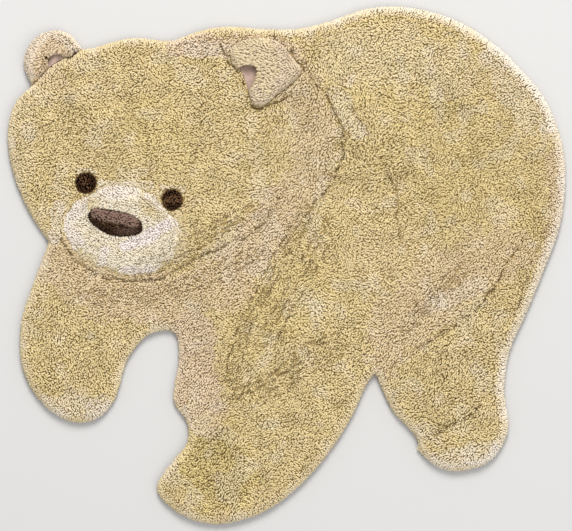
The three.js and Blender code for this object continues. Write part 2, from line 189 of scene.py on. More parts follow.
# Soft patches, by piece and tint.
PATCHES = {
    ("rug", "blush"): [
        band(25, 0.65, (286, 62), (303, 95), (317, 130), (312, 168), (290, 205)),
        band(27, 0.75, (284, 205), (262, 240), (235, 262)),
        band(30, 0.7, (62, 268), (110, 296), (170, 300), (228, 284)),
        band(13, 1.0, (178, 46), (232, 46), (292, 52)),
        band(28, 1.0, (193, 335), (196, 380), (204, 412)),
        band(36, 0.65, (398, 328), (440, 290), (505, 250)),
        band(34, 0.25, (372, 262), (410, 252)),
        band(18, 0.6, (388, 310), (388, 366)),
        band(14, 0.8, (556, 160), (558, 215), (552, 262)),
        band(14, 0.5, (42, 68), (60, 84)),
    ],
    # Parted pile: its roots and its tone carry painted shade, for the shade down in the parted pile.
    ("rug", "parted_and_shaded"): [
        band(25, 0.5, (303, 95), (317, 130), (312, 168)),
        band(32, 0.45, (210, 446), (224, 480)),
        band(24, 0.1, (240, 375), (330, 350)),
        band(28, 0.3, (195, 350), (200, 410)),
        band(34, 0.3, (345, 150), (390, 160)),
        band(22, 0.2, (82, 110), (104, 156)),
        band(26, 0.2, (200, 130), (235, 90)),
        band(20, 0.25, (424, 84), (448, 106)),
        band(26, 0.2, (430, 400), (480, 350)),
        band(7, 0.4, (425, 436), (455, 424), (474, 411)),
    ],
    ("rug", "pale"): [
        band(10, 0.3, (190, 50), (230, 50)),
        band(34, 0.18, (345, 60), (400, 50), (450, 72)),
        band(26, 0.3, (500, 60), (535, 110)),
        band(13, 0.35, (440, 460), (492, 452)),
        band(14, 0.3, (52, 406), (104, 410)),
        band(11, 0.3, (336, 94), (357, 130)),
        band(10, 0.25, (430, 306), (482, 284)),
        band(16, 0.1, (22, 110), (24, 170)),
        band(15, 0.15, (300, 300), (322, 306)),
        band(4, 0.35, (79, 171), (95, 173)),
        band(4, 0.35, (163, 188), (182, 190)),
        band(8, 0.45, (58, 206), (56, 236)),
        band(5, 0.4, (98, 183), (150, 186)),
    ],
    ("rug", "gold"): [
        band(70, 0.35, (440, 150), (500, 200)),
        band(55, 0.35, (360, 60), (430, 66)),
        band(40, 1.0, (206, 440), (222, 480)),
        band(36, 0.4, (250, 330), (310, 290)),
        band(30, 0.4, (150, 120), (176, 150)),
    ],
    # Parted pile on the ears carries painted shade at its roots as well.
    ("ear_left", "blush"): [band(60, 1.0, (40, 60), (60, 45))],
    ("ear_left", "parted_and_shaded"): [band(60, 0.25, (40, 60), (60, 45))],
    ("ear_left", "pale"): [band(10, 0.4, (27, 74), (26, 56), (36, 38), (52, 31), (66, 34), (78, 46))],
    ("ear_right", "straw"): [band(60, 0.95, (260, 60), (270, 80))],
    ("ear_right", "blush"): [
        band(60, 0.45, (260, 60), (270, 80)),
        band(14, 0.8, (284, 44), (296, 66), (282, 88)),
        band(12, 0.7, (254, 94), (262, 102)),
    ],
    ("ear_right", "parted_and_shaded"): [band(60, 0.8, (260, 60), (270, 80))],
    ("ear_right", "pale"): [band(17, 0.05, (236, 50), (258, 46), (272, 62), (272, 84), (258, 98))],
    ("muzzle", "pale"): [
        band(12, 0.45, (108, 190), (128, 189)),
        band(10, 0.5, (80, 202), (69, 222), (74, 242)),
        # Painted highlight: the bright streak where the muzzle bulges up towards the light.
        band(7, 0.85, (128, 246), (146, 238), (178, 217)),
        band(6, 0.6, (150, 197), (160, 206)),
        band(6, 0.5, (103, 262), (106, 250)),
        band(6, 0.6, (124, 271), (150, 270)),
    ],
    ("muzzle", "straw"): [
        band(8, 0.5, (85, 200), (94, 205)),
        band(9, 0.55, (147, 205), (155, 213)),
        band(14, 0.85, (60, 198), (74, 187), (94, 179)),
        band(12, 0.85, (148, 183), (170, 196), (188, 214)),
        band(15, 0.85, (191, 238), (184, 262), (164, 280)),
        band(13, 0.7, (118, 281), (94, 272), (68, 254)),
    ],
    # Painted highlight: the nose's upper facet, lighter where the light falls on it from above.
    ("nose", "pale"): [
        band(7, 1.0, (97, 213), (116, 217), (134, 222)),
        band(4, 0.3, (118, 232), (136, 231)),
    ],
    # Painted highlights on the eyes.
    ("eye_left", "pale"): [band(3, 0.5, (84, 180), (88, 186))],
    ("eye_right", "pale"): [band(4, 0.7, (166, 202), (180, 198))],
}

# Creases, where the pile parts and its roots show, with painted shade: darkened roots and dark strands
# along each.
CREASES = {
    "collar": crease(
        0.85, (290, 50), (304, 64), (318, 85), (331, 102), (343, 135), (343, 160),
        (330, 184), (305, 216),
    ),
    "shoulder": crease(0.4, (350, 105), (375, 150), (395, 190), (400, 240)),
    "jaw": crease(
        0.9, (60, 240), (75, 262), (100, 278), (140, 283), (170, 276), (202, 256), (240, 240),
        (264, 224), (286, 190),
    ),
    "jaw wrinkles": crease(0.5, (150, 275), (185, 258), (222, 236), (250, 222), rows=4, apart=5),
    "throat wrinkles": crease(0.4, (90, 290), (150, 291), (205, 272), (250, 250), rows=3, apart=-6),
    "near foreleg": crease(
        0.6, (298, 216), (276, 248), (257, 290), (243, 314), (232, 347), (226, 370),
        rows=3, apart=6,
    ),
    "foreleg wrinkles": crease(0.45, (316, 232), (300, 264), (280, 298), (262, 330), rows=3, apart=8),
    "elbow": crease(
        0.6, (223, 403), (247, 393), (270, 382), (293, 367), (312, 350), (334, 340), rows=2,
        apart=6,
    ),
    "elbow wrinkles": crease(0.4, (262, 398), (300, 372), (338, 350), rows=2, apart=-6),
    "flank": crease(1.0, (522, 240), (506, 264), (495, 288), (475, 310), (446, 330), (420, 346)),
    "flank wrinkles": crease(0.5, (402, 322), (430, 292), (450, 272), rows=4, apart=-4.6),
    "groin": crease(0.4, (418, 345), (396, 362), (384, 372)),
    "toes": crease(0.65, (420, 440), (445, 429), (462, 419), (480, 406)),
    # Painted shadow: the dark lines under and beside the raised ears.
    "under the ear": crease(
        1.6, (243, 82), (247, 92), (250, 102), (256, 108), (265, 109), (274, 104),
        (282, 98), (290, 96),
    ),
    "ear front": crease(1.6, (221, 44), (225, 55), (229, 57), (231, 64), (237, 70)),
    "ear back": crease(1.6, (270, 37), (278, 41), (283, 47), (289, 53), (296, 61), (304, 72)),
    "left ear fold": crease(1.6, (48, 58), (55, 54), (62, 57), (71, 58), (80, 50)),
    # Painted shade: the dark lower band of the nose.
    "nose ridge": crease(0.9, (90, 218), (104, 224), (124, 228), (142, 227)),
    "nape": crease(0.4, (180, 44), (214, 40), (250, 36)),
    "rump": crease(0.3, (546, 225), (530, 270), (515, 312)),
}
# Half width of the painted shade and of the parting and how far off a line they are worked out,
# in squares, and how strong the parting is.
CREASE = {"core": 1.05, "push": 2.6, "reach": 10, "part": 1.4}
WHOLE_ENOUGH = (0.1, 0.9)  # a strand shows where its crease is darker than a draw between these

# How much wider than its patch the pile of a small piece spreads, and how much that varies.
SPREAD = {"eye_left": (0.2, 0.05), "eye_right": (0.22, 0.05), "muzzle": (0.01, 0.035)}

# Small pieces whose tufts all stand up, and grow only where the piece is at least this level.
LEVEL = {"eye_left": 0.45, "eye_right": 0.45}

# Which way the pile of a small piece is combed, where it isn't brushed with the pile round it:
# degrees counterclockwise from +X.
COMBED = {"ear_right": 188, "nose": -14}

# The pile is set out in these pieces; a tuft goes to the nearest middle.
PILES = {
    "pile_head": (120, 150),
    "pile_neck": (235, 150),
    "pile_back": (350, 90),
    "pile_haunch": (490, 170),
    "pile_hind_leg": (455, 380),
    "pile_shoulder": (340, 260),
    "pile_near_foreleg": (240, 430),
    "pile_left_leg": (90, 340),
}

# The fitted pieces with pile: the kind of tuft, its yarn, the slot and the seed.
FITTED = {
    "ear_left": {"kind": "ear", "yarn": "honey", "slot": "blush_pile", "seed": 21},
    "ear_right": {"kind": "ear", "yarn": "cream", "slot": "cream_pile", "seed": 22},
    "muzzle": {"kind": "cream", "yarn": "cream", "slot": "cream_pile", "seed": 23},
    "nose": {"kind": "nose", "yarn": "nose", "slot": "nose_pile", "seed": 24},
    "eye_left": {"kind": "eye", "yarn": "dark", "slot": "dark_pile", "seed": 25},
    "eye_right": {"kind": "eye", "yarn": "dark", "slot": "dark_pile", "seed": 26},
}
OPEN_SIDES = ("ear_left", "ear_right", "nose")  # fitted pieces that stand clear at their sides
FELT_CUTS = 2  # through each edge of a lining


def plan(x, y):
    """A place on the pattern in the rug's own frame."""
    return Vector(((x - PATTERN_MIDDLE[0]) * SQUARE, (PATTERN_MIDDLE[1] - y) * SQUARE, 0))


def smooth(value):
    value = np.clip(value, 0, 1)
    return value * value * (3 - 2 * value)


# ---- Materials ----
def srgb(red, green, blue):
    """A colour given in the steps of a screen, 0 to 255, as Blender's linear one."""
    steps = np.array([red, green, blue]) / 255
    linear = np.where(steps <= 0.04045, steps / 12.92, ((steps + 0.055) / 1.055) ** 2.4)
    return (*linear, 1.0)


SPECULAR = 0.1
ROUGH = {"cotton": 0.95, "floor": 0.8}
PLY = {"turn": 0.6, "distortion": 1.5}  # the slant of a yarn's strands, and how they stray from it
RISE_LIGHT = 0.45  # how much of a crease's painted shade is gone at the tips
BACK = (0.0004, 0.0012)  # canvas shows up to the first height and pile from the second on
THREAD = 0.8  # the darker threads of the canvas
SCALES = {"ply": 180.0, "weave": 700.0, "roots": 400.0, "cloud": 90.0, "fibres": 1400.0}  # in a metre
# The noise at which a spot starts and at which it is full.
SPOTS = {"roots": (0.4, 0.9), "cloud": (0.35, 0.65)}
RELIEF = {
    "yarn": {"Strength": 0.25, "Distance": 0.0004},
    "canvas": {"Strength": 0.3, "Distance": 0.0003},
    "felt": {"Strength": 0.5, "Distance": 0.0004},
}


class Value:
    """What comes out of a node, so that a sum of masks is written as a sum."""

    def __init__(self, finish, socket):
        self.finish = finish
        self.socket = socket

    def math(self, operation, first, second):
        return self.finish.node("ShaderNodeMath", {"operation": operation}, {0: first, 1: second})

    def __sub__(self, other):
        return self.math("SUBTRACT", self, other)

    def __rsub__(self, other):
        return self.math("SUBTRACT", other, self)

    def __mul__(self, other):
        return self.math("MULTIPLY", self, other)

    def __rmul__(self, other):
        return self.math("MULTIPLY", other, self)


class Finish:
    """A material whose nodes all come from one method."""

    def __init__(self, name, rough="cotton"):
        self.material = bpy.data.materials.new(name)
        self.material.use_nodes = True
        self.tree = self.material.node_tree
        self.shader = self.tree.nodes["Principled BSDF"]
        self.shader.inputs["Roughness"].default_value = ROUGH[rough]
        self.shader.inputs["Specular IOR Level"].default_value = SPECULAR

    def node(self, kind, settings, sockets, output=0):
        made = self.tree.nodes.new(kind)
        for key, setting in settings.items():
            setattr(made, key, setting)
        for key, given in sockets.items():
            self.feed(made.inputs[key], given)
        return Value(self, made.outputs[output])

    def feed(self, socket, given):
        if isinstance(given, Value):
            self.tree.links.new(given.socket, socket)
        else:
            socket.default_value = given

    def mixed(self, share, first, second, blend="MIX"):
        settings = {"data_type": "RGBA", "blend_type": blend}
        return self.node("ShaderNodeMix", settings, {0: share, 6: first, 7: second}, output=2)

    def attribute(self, name):
        return self.node("ShaderNodeAttribute", {"attribute_name": name}, {}, output="Fac")

    def places(self, output="Object"):
        return self.node("ShaderNodeTexCoord", {}, {}, output=output)

    def speckle(self, scale, detail=2.0):
        """Noise from 0 to 1 whose spots repeat scale times in a metre."""
        sockets = {"Vector": self.places(), "Scale": scale, "Detail": detail}
        return self.node("ShaderNodeTexNoise", {}, sockets)

    def between(self, value, low, high):
        """0 up to low, 1 from high on."""
        sockets = {"Value": value, "From Min": low, "From Max": high}
        return self.node("ShaderNodeMapRange", {"interpolation_type": "SMOOTHSTEP"}, sockets)

    def coloured(self, colour, height=None, relief=None):
        self.feed(self.shader.inputs["Base Color"], colour)
        if height is not None:
            bump = self.node("ShaderNodeBump", {}, {**RELIEF[relief], "Height": height})
            self.feed(self.shader.inputs["Normal"], bump)
        return self.material


def ply(finish):
    """The twist of a yarn's strands, which runs round each tuft on its own map."""
    slant = {"Vector": finish.places("UV"), "Rotation": (0, 0, PLY["turn"])}
    turned = finish.node("ShaderNodeMapping", {}, slant)
    sockets = {"Vector": turned, "Scale": SCALES["ply"], "Distortion": PLY["distortion"]}
    return finish.node("ShaderNodeTexWave", {"wave_profile": "SIN"}, sockets)


def yarn(name, roots, low, high, tints=()):
    """Cut cotton yarn, from one tone to another from tuft to tuft, with painted shade at the root
    that is darkest where the pile is parted or creased: the shade down among the tufts and in
    the creases. Each tint is a tuft's attribute, the colour that it brings and how that is
    blended in; the pale tints of the nose and eyes are painted highlights."""
    finish = Finish(name)
    tone = finish.mixed(finish.attribute("tone"), low, high)
    root = finish.mixed(finish.attribute("parted_and_shaded"), *roots)
    rise = finish.between(finish.attribute("rise"), 0.0, 1.0)
    colour = finish.mixed(rise, root, tone)
    for attribute, tint, blend in tints:
        colour = finish.mixed(finish.attribute(attribute), colour, tint, blend)
    # Painted shade along the creases, less of it towards the tips.
    creased = finish.attribute("creased") * (1.0 - RISE_LIGHT * rise)
    colour = finish.mixed(creased, colour, CREASE_SHADE, "MULTIPLY")
    return finish.coloured(colour, ply(finish), "yarn")


def ground(name, roots, under):
    """What shows between the tufts, painted in the shaded colour of the roots, darker in spots and
    where the pile is parted, and woven canvas on the underside.
    """
    finish = Finish(name)
    squares = {"Vector": finish.places(), "Scale": SCALES["weave"]}
    weave = finish.node("ShaderNodeTexChecker", {}, squares, output="Fac")
    thread = (*(THREAD * part for part in under[:3]), 1.0)
    canvas = finish.mixed(weave, under, thread)
    height = finish.node("ShaderNodeSeparateXYZ", {}, {0: finish.places()}, output="Z")
    above = finish.between(height, *BACK)
    pile = finish.mixed(finish.attribute("parted_and_shaded"), *roots)
    # Spots of the darkest painted root shade.
    spots = finish.between(finish.speckle(SCALES["roots"]), *SPOTS["roots"])
    pile = finish.mixed(spots, pile, roots[1])
    pile = finish.mixed(finish.attribute("blush"), pile, BLUSH, "MULTIPLY")
    return finish.coloured(finish.mixed(above, canvas, pile), weave, "canvas")


def felt(name, light, deep):
    finish = Finish(name)
    cloud = finish.speckle(SCALES["cloud"], detail=4.0)
    fibres = finish.speckle(SCALES["fibres"], detail=3.0)
    colour = finish.mixed(finish.between(cloud, *SPOTS["cloud"]), light, deep)
    return finish.coloured(colour, fibres, "felt")


# Painted shade at the roots of each yarn, for the shade down among the tufts: in close pile, and darker
# in parted pile.
SHADED_ROOTS = {
    "honey": (srgb(200, 174, 117), srgb(132, 107, 56)),
    "cream": (srgb(222, 210, 184), srgb(190, 172, 138)),
    "dark": (srgb(14, 7, 4), srgb(10, 5, 3)),
    "nose": (srgb(34, 22, 15), srgb(24, 15, 10)),
}
BLUSH = (0.975, 0.955, 1.21, 1.0)  # a gain, which turns honey to a greyer, pinker tone
GOLD = (1.0, 0.995, 0.86, 1.0)  # a gain, which turns it yellower
CREASE_SHADE = (0.15, 0.11, 0.06, 1.0)  # a gain, painted shade on the roots along a crease
PALE = srgb(230, 220, 206)  # the lightest honey
WHITE = srgb(234, 223, 217)  # the lightest cream
STRAW = srgb(211, 193, 148)  # honey that shows through cream
CANVAS_CLOTH = srgb(196, 186, 164)

MATERIALS = {
    "honey": yarn(
        "honey_yarn", SHADED_ROOTS["honey"], srgb(192, 172, 121), srgb(237, 220, 173),
        [("blush", BLUSH, "MULTIPLY"), ("gold", GOLD, "MULTIPLY"), ("pale", PALE, "MIX")],
    ),
    "cream": yarn(
        "cream_yarn", SHADED_ROOTS["cream"], srgb(208, 196, 172), srgb(238, 228, 208),
        [("straw", STRAW, "MIX"), ("blush", BLUSH, "MULTIPLY"), ("pale", WHITE, "MIX")],
    ),
    # Painted shade: the dark yarn of the strands along the creases.
    "shade": yarn("painted_shade_yarn", (srgb(96, 74, 36),) * 2, srgb(104, 84, 50), srgb(140, 116, 76)),
    # The eyes' yarn; its pale tint is a painted highlight.
    "dark": yarn(
        "dark_yarn", SHADED_ROOTS["dark"], srgb(48, 29, 17), srgb(92, 62, 40),
        [("pale", srgb(124, 92, 62), "MIX")],
    ),
    # Its pale tint is a painted highlight on the nose's upper facet.
    "nose": yarn(
        "nose_yarn", SHADED_ROOTS["nose"], srgb(42, 27, 17), srgb(78, 55, 38),
        [("pale", srgb(134, 108, 94), "MIX")],
    ),
    "felt": felt("mauve_felt", srgb(172, 148, 134), srgb(157, 133, 120)),
}
for key, roots in SHADED_ROOTS.items():
    MATERIALS[f"{key}_ground"] = ground(f"{key}_ground", roots, CANVAS_CLOTH)


# ---- Surfaces ----
def merged(node):
    """A copy of a solid's mesh with its corners joined."""
    bm = bmesh.new()
    bm.from_mesh(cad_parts[node].data)
    bmesh.ops.remove_doubles(bm, verts=bm.verts, dist=TINY)
    bmesh.ops.recalc_face_normals(bm, faces=bm.faces)
    return bm


def shown(name, mesh, material):
    """A mesh as a piece of the rug."""
    mesh.materials.append(material)
    piece = bpy.data.objects.new(name, mesh)
    bpy.context.scene.collection.objects.link(piece)
    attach(piece, "root")
    return piece


def mesh_of(name, bm):
    mesh = bpy.data.meshes.new(name)
    bm.to_mesh(mesh)
    bm.free()
    mesh.shade_smooth()
    return mesh


def foot_line(bm):
    """Points along the line where the sides of a piece meet its flat underside."""
    points = []
    for edge in bm.edges:
        facing = sorted(face.normal.z for face in edge.link_faces)
        if facing[0] < FACING_DOWN < facing[-1] and edge.verts[0].co.z < FLOOR_CLEAR:
            a, b = (vert.co for vert in edge.verts)
            steps = max(1, round((b - a).length / FOOT_STEP))
            points += [a.lerp(b, step / steps) for step in range(steps)]
    return points


def tree_of(points):
    tree = KDTree(len(points))
    for i, point in enumerate(points):
        tree.insert(point, i)
    tree.balance()
    return tree


RUG_FOOT = tree_of(foot_line(merged("rug")))


def from_edge(points):
    """How far each point lies in plan from the foot of the rug's edge."""
    return np.array([RUG_FOOT.find((x, y, 0))[2] for x, y, _ in points])


def solids_tree(left_out=None):
    """The faces of the rug's solids, all but one, as one tree."""
    corners = []
    faces = []
    for name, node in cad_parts.items():
        if name != left_out:
            first = len(corners)
            corners += [vert.co.copy() for vert in node.data.vertices]
            faces += [[first + i for i in face.vertices] for face in node.data.polygons]
    return BVHTree.FromPolygons(corners, faces)


SOLIDS = solids_tree()


def sunk(node, name, material, sink):
    """The ground of a pile: its solid, lowered by the length of the tufts, and drawn in at the
    sides where they are in the open."""
    bm = merged(node)
    beside = solids_tree(left_out=node)
    places = np.array([vert.co for vert in bm.verts])
    tints = soft_tints(places, node)
    moves = []
    for vert in bm.verts:
        near_foot = RUG_FOOT.find((vert.co.x, vert.co.y, 0))[2] < SIDE_BAND
        is_free = beside.find_nearest(vert.co, BESIDE)[0] is None
        is_drawn_in = is_free and (near_foot or node in OPEN_SIDES)
        across = vert.normal * (sink if is_drawn_in else 0)
        down = 0 if vert.co.z < CANVAS_CORNERS else sink * max(vert.normal.z, 0)
        moves.append(Vector((across.x, across.y, down)))
    for vert, move in zip(bm.verts, moves):
        vert.co -= move
    mesh = mesh_of(name, bm)
    for key in ("parted_and_shaded", "blush"):
        carry(mesh, key, tints[key])
    piece = shown(name, mesh, MATERIALS[material])
    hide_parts(node)
    return piece


def carry(mesh, key, values):
    """Stores a number for every corner of a mesh."""
    layer = mesh.attributes.new(key, "FLOAT", "POINT")
    layer.data.foreach_set("value", np.asarray(values, np.float32))


def scatter_group():
    """Geometry nodes that spread points over a mesh and note which way it faces there. The
    most points that they try is CROWD over the square of the spacing."""
    tree = bpy.data.node_groups.new("spread_tufts", "GeometryNodeTree")
    sockets = [("Surface", "INPUT", "NodeSocketGeometry"), ("Spacing", "INPUT", "NodeSocketFloat")]
    for name, direction, kind in [*sockets, ("Points", "OUTPUT", "NodeSocketGeometry")]:
        tree.interface.new_socket(name, in_out=direction, socket_type=kind)
    given = tree.nodes.new("NodeGroupInput")
    spread = tree.nodes.new("GeometryNodeDistributePointsOnFaces")
    spread.distribute_method = "POISSON"
    crowd = tree.nodes.new("ShaderNodeMath")
    crowd.operation = "POWER"
    crowd.inputs[1].default_value = -2.0
    most = tree.nodes.new("ShaderNodeMath")
    most.operation = "MULTIPLY"
    most.inputs[1].default_value = CROWD
    note = tree.nodes.new("GeometryNodeStoreNamedAttribute")
    note.data_type = "FLOAT_VECTOR"
    note.inputs["Name"].default_value = "facing"
    corners = tree.nodes.new("GeometryNodePointsToVertices")
    result = tree.nodes.new("NodeGroupOutput")
    for start, end in [
        (given.outputs["Surface"], spread.inputs["Mesh"]),
        (given.outputs["Spacing"], spread.inputs["Distance Min"]),
        (given.outputs["Spacing"], crowd.inputs[0]),
        (crowd.outputs[0], most.inputs[0]),
        (most.outputs[0], spread.inputs["Density Max"]),
        (spread.outputs["Points"], note.inputs["Geometry"]),
        (spread.outputs["Normal"], note.inputs["Value"]),
        (note.outputs["Geometry"], corners.inputs["Points"]),
        (corners.outputs["Mesh"], result.inputs["Points"]),
    ]:
        tree.links.new(start, end)
    return tree


SCATTER = scatter_group()
SPACING_SOCKET = SCATTER.interface.items_tree["Spacing"].identifier


def vectors(collection, name):
    """One vector of every item of a mesh's collection, as rows."""
    values = np.empty(len(collection) * 3, np.float32)
    collection.foreach_get(name, values)
    return values.reshape(-1, 3).astype(float)


def scattered(node, spacing):
    """Points spread evenly over a solid, no two closer than spacing, and its normals there."""
    surface = bpy.data.objects.new("spread", mesh_of("spread", merged(node)))
    bpy.context.scene.collection.objects.link(surface)
    modifier = surface.modifiers.new("spread", "NODES")
    modifier.node_group = SCATTER
    modifier[SPACING_SOCKET] = spacing
    points = surface.evaluated_get(bpy.context.evaluated_depsgraph_get()).to_mesh()
    places = vectors(points.vertices, "co")
    facing = vectors(points.attributes["facing"].data, "vector")
    bpy.data.objects.remove(surface)
    return places, facing


def in_the_open(places, facing):
    """True where yarn can show: nothing lies over the surface, and it isn't the underside."""
    found = []
    for place, normal in zip(places, facing):
        start = Vector(place) + Vector(normal) * RAY_START
        way = (Vector(normal) + Vector(TO_LIGHT)).normalized()
        is_clear = SOLIDS.ray_cast(start, way)[0] is None
        found.append(is_clear and place[2] > LOWEST_ROOT and normal[2] > OVERHANG)
    return np.array(found)


# ---- Tufts ----
class Lock:
    """One shape of tuft, in a frame with its root at the origin, +Z off the canvas and leaning
    to +X: corners, faces, how far up each corner is, and where its faces lie on the yarn's map."""

    def __init__(self, radius, rise, lean, aside):
        self.reach = (lean, aside, rise)
        bm = bmesh.new()
        self.up = bm.verts.layers.float.new("rise")
        self.turn = bm.verts.layers.float.new("turn")
        ring = bmesh.ops.create_circle(bm, cap_ends=True, segments=SIDES, radius=1.0)["verts"]
        frames = [self.section(t, share * radius) for t, share in SECTIONS]
        bmesh.ops.transform(bm, matrix=frames[0], verts=ring)
        self.note(ring, SECTIONS[0][0], frames[0])
        cap = bm.faces[:][0]
        for (t, _), before, after in zip(SECTIONS[1:], frames, frames[1:]):
            grown = bmesh.ops.extrude_face_region(bm, geom=[cap])["geom"]
            ring = [part for part in grown if isinstance(part, bmesh.types.BMVert)]
            cap = next(part for part in grown if isinstance(part, bmesh.types.BMFace))
            bmesh.ops.transform(bm, matrix=after @ before.inverted(), verts=ring)
            self.note(ring, t, after)
        tip = bmesh.ops.poke(bm, faces=[cap])["verts"][0]
        tip.co = self.path(1.0)
        tip[self.up] = 1.0
        bmesh.ops.recalc_face_normals(bm, faces=bm.faces)
        self.keep(bm)

    def path(self, t):
        """The middle of the tuft at t, which is 0 at its root and 1 at its tip."""
        lean, aside, rise = self.reach
        return Vector((lean * t ** CURL["lean"], aside * t * t, rise * (1 - (1 - t) ** CURL["rise"])))

    def section(self, t, radius):
        """The frame of a section: square to the tuft's line, scaled to the section's radius."""
        before, after = self.path(max(t - SECTION_STEP, 0)), self.path(min(t + SECTION_STEP, 1))
        turned = (after - before).to_track_quat("Z", "Y").to_matrix().to_4x4()
        return Matrix.Translation(self.path(t)) @ turned @ Matrix.Scale(radius, 4)

    def note(self, ring, rise, section):
        for vert in ring:
            local = section.inverted() @ vert.co
            vert[self.up] = rise
            vert[self.turn] = math.atan2(local.y, local.x) / math.tau

    def keep(self, bm):
        bm.verts.index_update()
        self.corners = np.array([vert.co[:] for vert in bm.verts])
        self.rise = np.array([vert[self.up] for vert in bm.verts])
        self.sizes = np.array([len(face.verts) for face in bm.faces])
        self.order = np.array([vert.index for face in bm.faces for vert in face.verts])
        self.map = np.array([spot for face in bm.faces for spot in self.laid_out(face)])
        bm.free()

    def laid_out(self, face):
        """Where a face's corners lie on the map of one tuft: round it, and up it."""
        if all(vert[self.up] == 0 for vert in face.verts):
            spot = ROOT_SPOT
            return [
                (spot["x"] + spot["wide"] * math.cos(angle), spot["y"] + spot["high"] * math.sin(angle))
                for angle in (math.tau * k / SIDES for k in range(SIDES))
            ]
        turns = [vert[self.turn] for vert in face.verts if vert[self.up] < 1]
        first = turns[0]
        near = [first + (turn - first + 0.5) % 1 - 0.5 for turn in turns]
        middle = sum(near) / len(near)
        spots = []
        for vert in face.verts:
            turn = middle if vert[self.up] == 1 else middle + (vert[self.turn] - middle + 0.5) % 1 - 0.5
            spots.append(((turn + 1) / 2.0, SIDE_SPOT["low"] + SIDE_SPOT["high"] * vert[self.up]))
        return spots


def locks_of(kind, rng):
    """Tufts of one kind that differ a little in length, lean and bend."""
    row = KINDS[kind]
    made = []
    for _ in range(LOCKS):
        long, bend = rng.uniform(*VARIED["long"]), rng.uniform(*VARIED["bend"])
        made.append(Lock(row["radius"], row["sink"], row["lean"] * long, row["lean"] * bend))
    return made


def stood_up(row, shapes, places, facing, leaning, rng):
    """The corners of tufts, each on its place. row is the kind's, and half of a tuft's lean lies
    before its place and half behind it."""
    aside = np.cross(facing, leaning)
    aside /= np.linalg.norm(aside, axis=1, keepdims=True)
    along = np.cross(aside, facing)
    share = np.minimum(np.linalg.norm(leaning, axis=1, keepdims=True), 1)
    size = rng.uniform(*VARIED["size"], (len(places), 1, 1))
    shapes[..., 0] *= share
    frames = np.stack([along, aside, facing], axis=1)
    heights = row["sink"] + rng.normal(0, row["uneven"], len(places))
    roots = places - facing * row["sink"] - along * share * row["lean"] / 2
    roots += facing * (heights - row["sink"])[:, None]
    corners = (shapes * size) @ frames + roots[:, None, :]
    corners[..., 2] = np.maximum(corners[..., 2], FLOOR_CLEAR)
    return corners


def joined(name, locks, corners):
    """One mesh of many tufts: the lock that each is made from, and where its corners are. Each
    has a cell of its own on the map."""
    count, each = corners.shape[:2]
    mesh = bpy.data.meshes.new(name)
    mesh.vertices.add(count * each)
    mesh.vertices.foreach_set("co", corners.ravel())
    order = np.array([lock.order for lock in locks]) + (np.arange(count) * each)[:, None]
    mesh.loops.add(order.size)
    mesh.loops.foreach_set("vertex_index", order.ravel())
    starts = np.concatenate([[0], np.cumsum(np.tile(locks[0].sizes, count))[:-1]])
    mesh.polygons.add(len(starts))
    mesh.polygons.foreach_set("loop_start", starts)
    mesh.update(calc_edges=True)
    mesh.shade_smooth()
    across = math.ceil(math.sqrt(count))
    cells = np.stack([np.arange(count) % across, np.arange(count) // across], axis=1)
    maps = (np.array([lock.map for lock in locks]) + cells[:, None, :]) / across
    mesh.uv_layers.new(name="OFBake").data.foreach_set("uv", maps.ravel())
    return mesh


def tufted(name, kind, material, places, facing, leaning, tints, rng):
    """A piece of tufts. Each stands at a place on the pile's surface, along its normal, and
    carries its own tints. It leans the way it is told, as far as that arrow is long."""
    locks = locks_of(kind, rng)
    locks = [locks[pick] for pick in rng.integers(0, LOCKS, len(places))]
    shapes = np.array([lock.corners for lock in locks])
    mesh = joined(name, locks, stood_up(KINDS[kind], shapes, places, facing, leaning, rng))
    carry(mesh, "rise", np.concatenate([lock.rise for lock in locks]))
    for key, per_tuft in tints.items():
        carry(mesh, key, np.repeat(per_tuft, shapes.shape[1]))
    shown(name, mesh, MATERIALS[material])


def waves(places, name, number=0):
    """A pattern of smooth noise at each place; number picks one of several that are alike."""
    row = WAVES[name]
    level = row["slice"] + number
    found = np.array([noise.noise(Vector((x, y, level)) / row["size"]) for x, y, _ in places])
    return row.get("middle", 0) + row.get("swing", 1) * (found * NOISE_GAIN)


def off_line(places, line):
    """How far each place lies to the left of a line on the pattern, in squares and less than 0
    to its right, and the level direction in which that grows."""
    corners = np.array([plan(*point)[:2] for point in line]) / SQUARE
    spots = places[:, :2] / SQUARE
    apart = np.full(len(spots), np.inf)
    way = np.zeros((len(spots), 2))
    for start, end in zip(corners, corners[1:]):
        along = end - start
        share = np.clip((spots - start) @ along / (along @ along), 0, 1)
        off = spots - start - share[:, None] * along
        size = np.linalg.norm(off, axis=1)
        side = np.where(along[0] * off[:, 1] - along[1] * off[:, 0] < 0, -1.0, 1.0)
        nearer = size < np.abs(apart)
        apart[nearer] = (side * size)[nearer]
        way[nearer] = (side[:, None] * off / np.maximum(size, TINY)[:, None])[nearer]
    return apart, way


def patch(places, node, tint):
    """How strong a tint is at each place of a piece, with ragged borders."""
    ragged = waves(places, "ragged") + waves(places, "frayed")
    found = np.zeros(len(places))
    for row in PATCHES.get((node, tint), []):
        apart = np.abs(off_line(places, row["line"])[0]) / row["reach"] + ragged
        found = np.maximum(found, row["much"] * smooth(BORDER * (1 - apart)))
    return found


def wander(places, number):
    """How far one of a row of creases strays to the right of its line, in squares."""
    return waves(places, "wander", number) + waves(places, "shiver")


def whole(places, number):
    """Where a crease is whole, 1, and where it is broken off, 0."""
    return smooth(waves(places, "whole", number))


